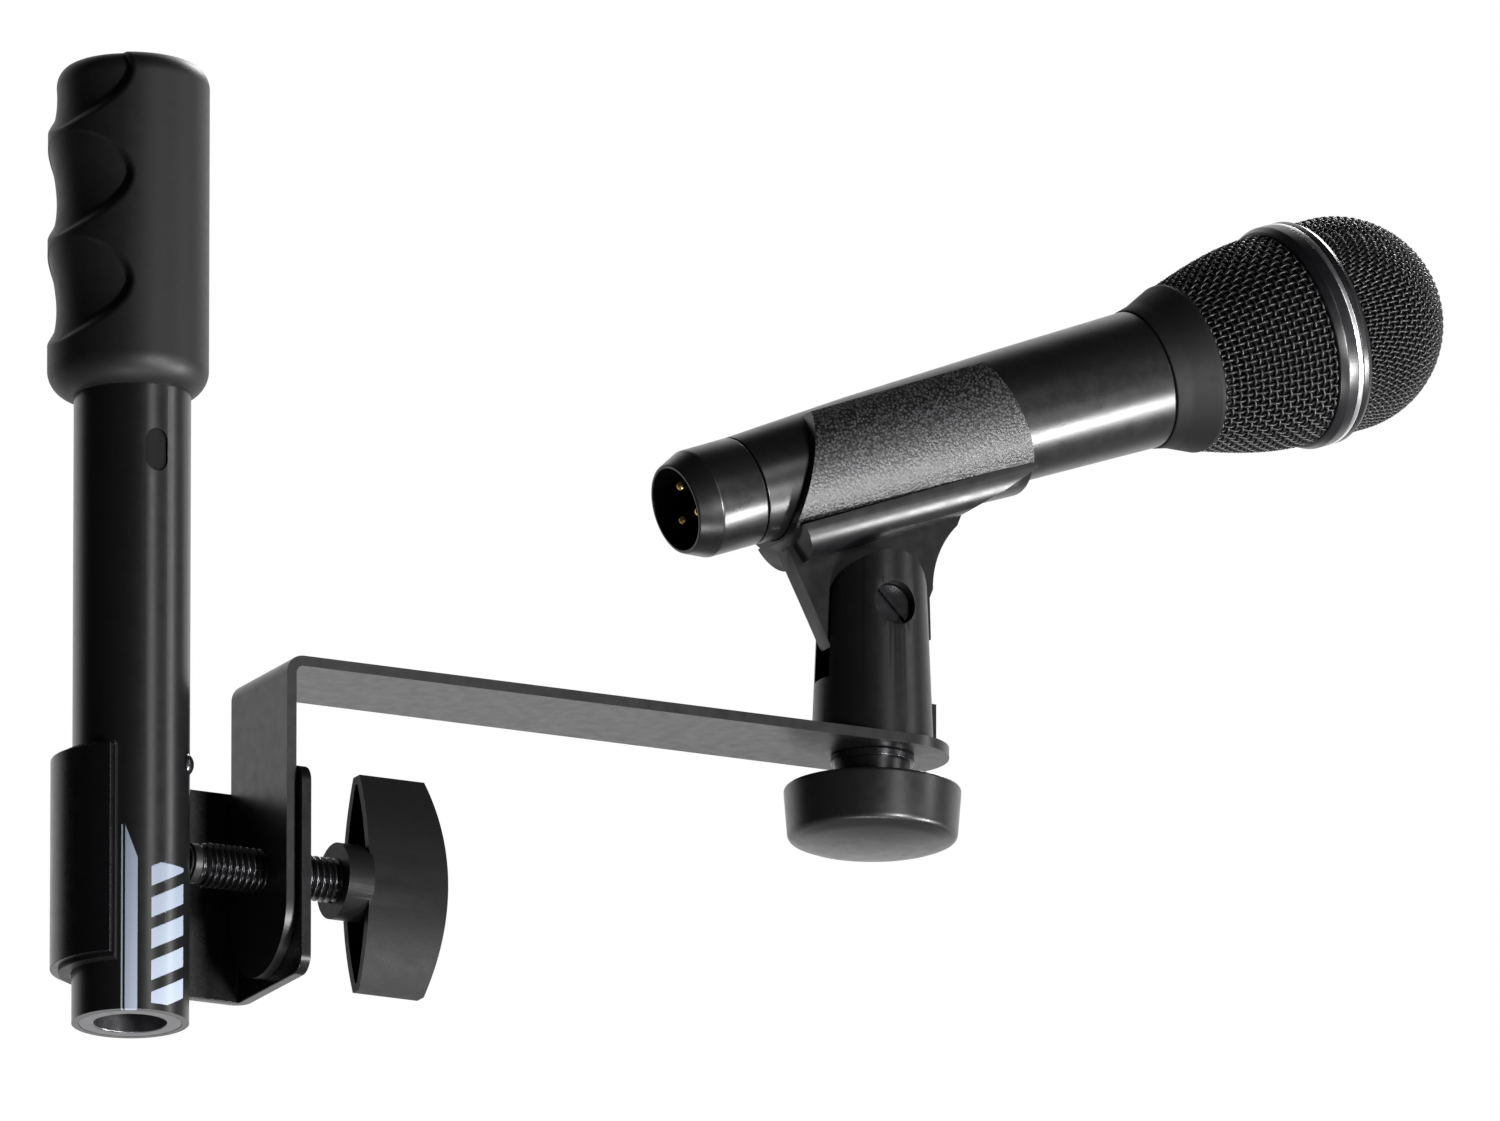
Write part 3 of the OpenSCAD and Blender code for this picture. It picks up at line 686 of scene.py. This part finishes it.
WIRE_R = 0.36
WIRE_SIDES = 5
WEAVE = 0.31                             # how far a wire swings to pass over the next
CELL = 1.62                              # distance between wires
SAMPLES = 4                              # points along a wire from one crossing to the next
HOOPS = 16
UPRIGHTS = 2 * round(TAU * 22 / CELL / 2)
BASKET_WIDE = HEAD_R - 1.2               # the basket's outer radius at the band
BASKET_IN = 0.75                         # from the basket's outer radius to its mid wires
DOME_R = HEAD_R - 1.85
MESH_GAP = 0.3                           # from a rim to the nearest wire


def basket_r(s):
    part = (s - COLLAR_S) / (BAND_S - COLLAR_S)
    return COLLAR_R + (BASKET_WIDE - COLLAR_R) * math.sin(math.pi / 2 * part)


def basket_s(share):
    """The height at a share of the way from the collar's rim to the band's."""
    return COLLAR_S + MESH_GAP + (BAND_S - COLLAR_S - 2 * MESH_GAP) * share


def make_basket():
    chains = []
    for k in range(HOOPS + 1):
        s = basket_s(k / HOOPS)
        ring = []
        for i in range(UPRIGHTS * SAMPLES):
            wave = WEAVE * math.cos(math.pi * i / SAMPLES) * (-1) ** k
            r = basket_r(s) - BASKET_IN + wave
            angle = TAU * i / (UPRIGHTS * SAMPLES)
            ring.append((r * math.cos(angle), r * math.sin(angle), s))
        chains.append((ring, True))
    for i in range(UPRIGHTS):
        angle = TAU * i / UPRIGHTS
        line = []
        for k in range(HOOPS * SAMPLES + 1):
            s = basket_s(k / (HOOPS * SAMPLES))
            wave = -WEAVE * math.cos(math.pi * k / SAMPLES) * (-1) ** i
            r = basket_r(s) - BASKET_IN + wave
            line.append((r * math.cos(angle), r * math.sin(angle), s))
        chains.append((line, False))
    woven("lower_mesh", chains, ["grille_lower"])


def dome_point(x, y, lift):
    """A point of flat cloth laid over the dome, x and y measured from its pole."""
    wall_s = BAND_S + BAND_L + DOME_WALL
    run = math.hypot(x, y)
    if run < 1e-9:
        return (0, 0, wall_s + DOME_R + lift)
    bend = run / DOME_R
    if bend <= math.pi / 2:
        out = (DOME_R + lift) * math.sin(bend)
        s = wall_s + (DOME_R + lift) * math.cos(bend)
    else:
        out, s = DOME_R + lift, wall_s - (run - DOME_R * math.pi / 2)
    return (out * x / run, out * y / run, s)


def make_dome():
    limit = DOME_R * math.pi / 2 + DOME_WALL - MESH_GAP
    lines = int(limit / CELL)
    chains = []
    for direction in (0, 1):
        for line in range(-lines, lines + 1):
            fixed = line * CELL
            half = math.sqrt(limit ** 2 - fixed ** 2)
            steps = int(half / CELL * SAMPLES)
            chain = []
            for k in range(-steps, steps + 1):
                run = k * CELL / SAMPLES
                phase = math.cos(math.pi * k / SAMPLES) * (-1) ** line
                lift = WEAVE * phase * (1 if direction else -1)
                x, y = (fixed, run) if direction else (run, fixed)
                chain.append(dome_point(x, y, lift))
            if len(chain) > 2:
                chains.append((chain, False))
    woven("dome_mesh", chains, ["grille_dome"])


make_basket()
make_dome()

# ---- Stage ----

CAMERA_AZIMUTH = math.radians(-26.05)
CAMERA_ELEVATION = math.radians(-15.3)
CAMERA_AWAY = 10.0
CAMERA_LENS = 1106                       # long, for the nearly parallel view of the part
AIM = Vector((0.140, 0, 0.107))
AIM_RIGHT, AIM_UP = 7.55 * MM, 12.6 * MM
FLOOR_Z = -3.2
ROOM, BACKDROP = 0.02, 1.1               # how bright each shows in glossy faces
BACKDROP_EDGE, BACKDROP_FULL = 0.30, 0.62


def add_floor():
    bm = bmesh.new()
    bmesh.ops.create_grid(bm, x_segments=1, y_segments=1, size=6)
    floor = add_object("floor", bm, Matrix.Translation((0, 0, FLOOR_Z)))
    material, tree, shader, where = new_material("pale_floor")
    cloud = noise(tree, where, 0.5, 2)
    tree.links.new(mixed(tree, ranged(tree, cloud, 0, 1), (0.80, 0.80, 0.80),
                         (0.83, 0.83, 0.83)), shader.inputs["Base Color"])
    shader.inputs["Roughness"].default_value = 0.9
    floor.data.materials.append(material)


def direction(azimuth, elevation):
    """Towards a light or camera: azimuth 0 is in front, and grows to the right."""
    return Vector((math.sin(azimuth) * math.cos(elevation),
                   -math.cos(azimuth) * math.cos(elevation), math.sin(elevation)))


def add_panel(name, azimuth, elevation, away, width, height, power):
    """A soft panel, its azimuth measured to the right of the camera's."""
    lamp = bpy.data.lights.new(name, "AREA")
    lamp.shape = "RECTANGLE"
    lamp.size, lamp.size_y = width, height
    lamp.energy = power
    panel = bpy.data.objects.new(name, lamp)
    bpy.context.scene.collection.objects.link(panel)
    towards = direction(CAMERA_AZIMUTH + math.radians(azimuth), math.radians(elevation))
    panel.location = CENTRE + towards * away
    panel.rotation_euler = towards.to_track_quat("Z", "Y").to_euler()


def add_camera():
    data = bpy.data.cameras.new("camera")
    data.lens = CAMERA_LENS
    data.sensor_width = 36
    data.clip_end = 40
    camera = bpy.data.objects.new("camera", data)
    bpy.context.scene.collection.objects.link(camera)
    towards = direction(CAMERA_AZIMUTH, CAMERA_ELEVATION)
    right = Vector((math.cos(CAMERA_AZIMUTH), math.sin(CAMERA_AZIMUTH), 0))
    aim = AIM + right * AIM_RIGHT + towards.cross(right) * AIM_UP
    camera.location = aim + towards * CAMERA_AWAY
    camera.rotation_euler = towards.to_track_quat("Z", "Y").to_euler()
    bpy.context.scene.camera = camera


def add_world():
    """White to the camera; to everything else a pale backdrop behind and a dark room."""
    world = bpy.data.worlds.new("studio")
    bpy.context.scene.world = world
    world.use_nodes = True
    tree = world.node_tree
    tree.nodes.clear()
    link = tree.links.new
    coords = tree.nodes.new("ShaderNodeTexCoord")
    facing = tree.nodes.new("ShaderNodeVectorMath")
    facing.operation = "DOT_PRODUCT"
    facing.inputs[1].default_value = direction(CAMERA_AZIMUTH + math.pi, 0)
    link(coords.outputs["Generated"], facing.inputs[0])
    fill = ranged(tree, facing.outputs["Value"], ROOM, BACKDROP, BACKDROP_EDGE, BACKDROP_FULL)
    soft = tree.nodes.new("ShaderNodeBackground")
    link(fill, soft.inputs["Strength"])
    white = tree.nodes.new("ShaderNodeBackground")
    white.inputs["Strength"].default_value = 1.0
    for shade in (soft, white):
        shade.inputs["Color"].default_value = (1, 1, 1, 1)
    path = tree.nodes.new("ShaderNodeLightPath")
    choice = tree.nodes.new("ShaderNodeMixShader")
    link(path.outputs["Is Camera Ray"], choice.inputs[0])
    link(soft.outputs[0], choice.inputs[1])
    link(white.outputs[0], choice.inputs[2])
    out = tree.nodes.new("ShaderNodeOutputWorld")
    link(choice.outputs[0], out.inputs["Surface"])


add_floor()
add_panel("main_panel", 38, -22, 1.6, 0.20, 0.40, 34)
add_panel("window", 35, 15, 1.6, 0.20, 0.6, 3.0)
add_panel("handle_panel", 62, -9, 1.5, 0.2, 0.2, 0.5)
add_panel("right_panel", 82, 14, 1.5, 0.16, 0.6, 3.5)
add_panel("shell_panel", 82, -30, 1.5, 0.2, 0.4, 32)
add_panel("back_panel", 152, 42, 1.6, 0.6, 0.4, 16)
add_panel("low_panel", 8, -72, 1.5, 0.9, 0.2, 10)
add_camera()
add_world()
bpy.context.scene.view_settings.view_transform = "Standard"
